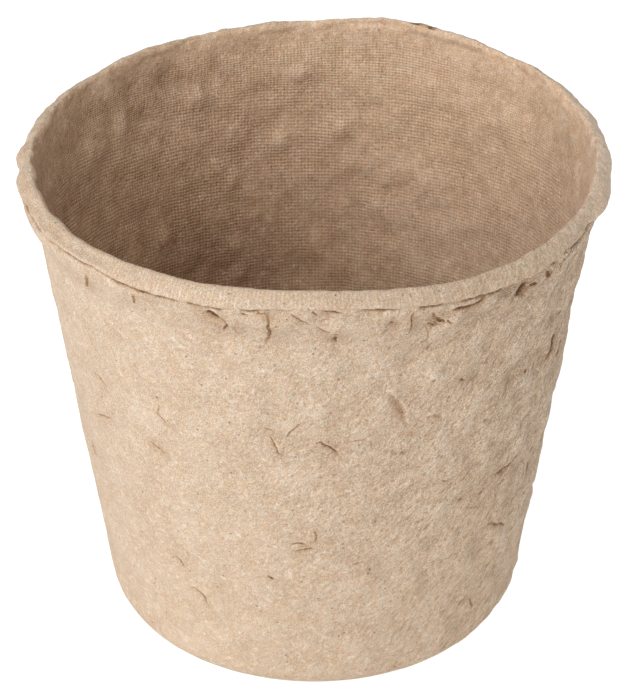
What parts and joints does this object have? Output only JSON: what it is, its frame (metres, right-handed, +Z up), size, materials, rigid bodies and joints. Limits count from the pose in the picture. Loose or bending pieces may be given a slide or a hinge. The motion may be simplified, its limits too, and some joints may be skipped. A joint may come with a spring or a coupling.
{
  "type": "peat pot",
  "caption": "Small round plant pot of moulded fibre pulp, with a tapered wall, a rolled lip, a rounded heel and a flat floor with a drain hole.",
  "frame": {"origin": "centre of the foot ring's underside, on the pot's axis", "axes": "+Z up the pot's axis, from the foot to the lip; -Y is the side that faces the camera in the picture"},
  "size_m": [0.0808, 0.0808, 0.0714],
  "materials": {
    "lip_fibre": "pressed pulp, matt",
    "wall_fibre": "felted pulp, matt",
    "floor_fibre": "felted pulp, matt"
  },
  "bodies": {
    "root": {"rim_lip": "lip_fibre", "side_wall": "wall_fibre", "floor_disc": "floor_fibre"}
  },
  "joints": []
}
